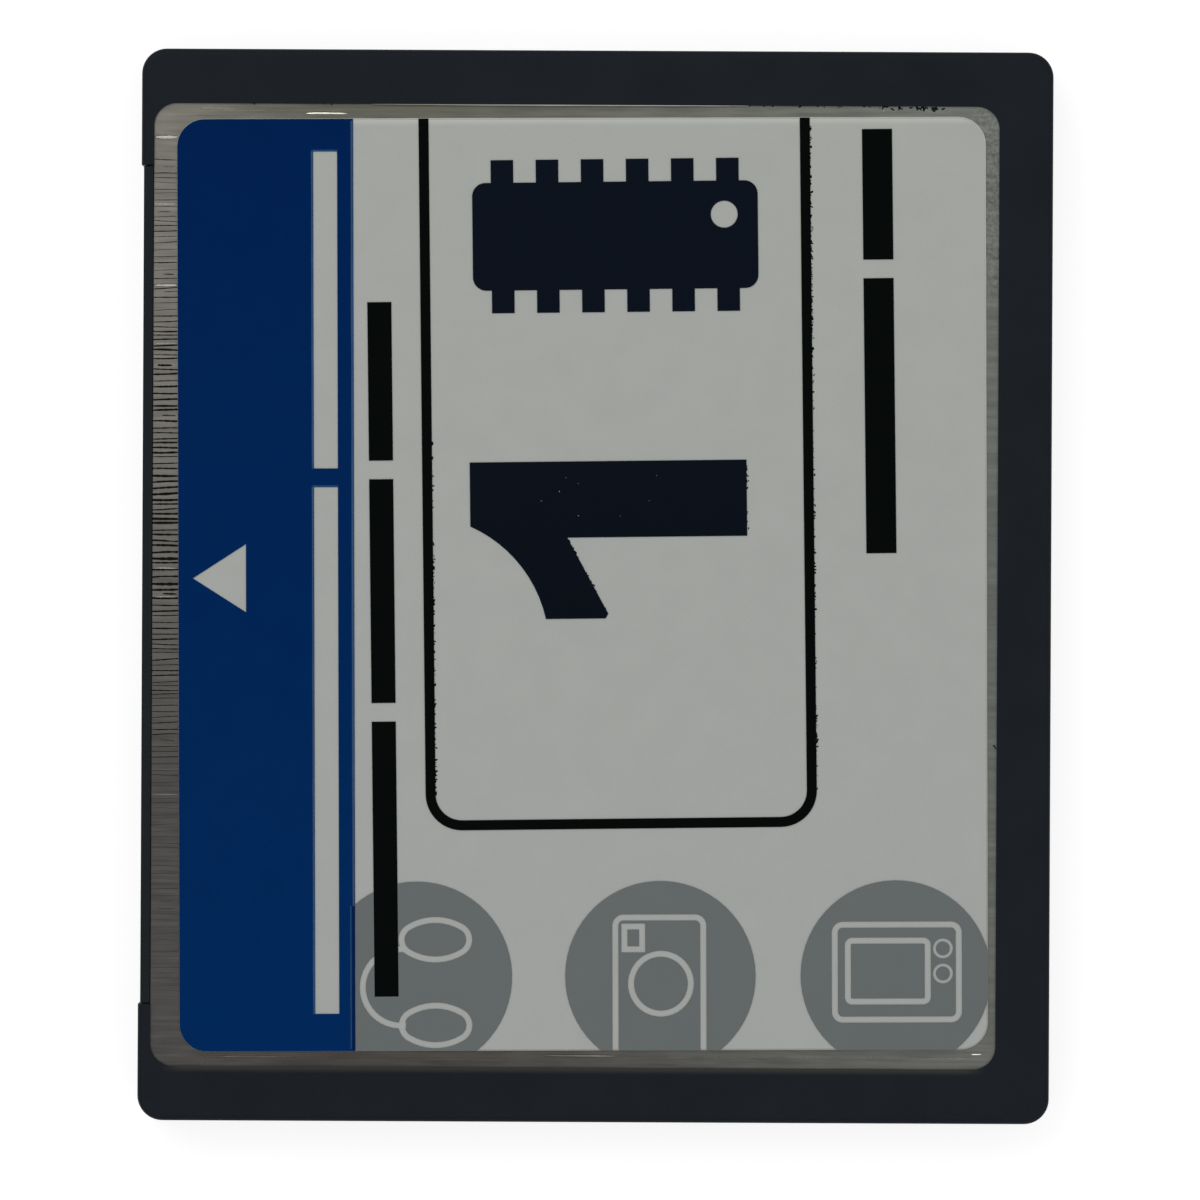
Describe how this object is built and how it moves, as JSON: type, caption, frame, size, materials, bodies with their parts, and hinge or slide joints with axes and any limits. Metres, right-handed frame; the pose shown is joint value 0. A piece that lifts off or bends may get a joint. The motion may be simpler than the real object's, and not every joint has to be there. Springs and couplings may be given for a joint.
{
  "type": "flash memory card",
  "caption": "Thin rectangular memory card with a dark moulded frame, steel covers, a printed label and a two-row pin socket along one edge",
  "frame": {"origin": "centre of the card's underside", "axes": "+X runs from the socket edge to the grip edge, +Y along the socket edge, +Z out of the labelled face"},
  "size_m": [0.0364, 0.0428, 0.0033],
  "materials": {
    "frame_plastic": "moulded polymer with a fine satin grain, nearly black with a blue cast",
    "cover_steel": "stainless sheet brushed from the socket edge towards the grip edge",
    "label_film": "pale silver-grey film with a soft sheen",
    "ink_blue": "deep blue ink, satin",
    "ink_black": "black ink, satin",
    "ink_grey": "mid grey ink, satin",
    "socket_plastic": "moulded high-temperature polymer, matte, nearly black",
    "contact_metal": "gold-plated copper alloy strip",
    "board": "glass-fibre board under green solder mask",
    "pad_copper": "gold-flashed copper",
    "chip_plastic": "black moulded epoxy",
    "tinned_metal": "matte tin plating",
    "array_ceramic": "dark glass glaze over ceramic",
    "capacitor_ceramic": "tan fired ceramic"
  },
  "bodies": {
    "root": {"frame_upper": "frame_plastic", "frame_lower": "frame_plastic", "cover_upper": "cover_steel", "cover_lower": "cover_steel", "label_film": "label_film", "print_blue": "ink_blue", "print_black": "ink_black", "print_grey": "ink_grey", "socket_housing": "socket_plastic", "contacts_upper": "contact_metal", "contacts_lower": "contact_metal", "circuit_board": "board", "tail_pads": "pad_copper", "controller_chip": "chip_plastic", "controller_leads": "tinned_metal", "memory_chip_upper": "chip_plastic", "memory_leads_upper": "tinned_metal", "memory_chip_lower": "chip_plastic", "memory_leads_lower": "tinned_metal", "resistor_arrays": "array_ceramic", "resistor_array_ends": "tinned_metal", "capacitors": "capacitor_ceramic", "capacitor_ends": "tinned_metal"}
  },
  "joints": []
}
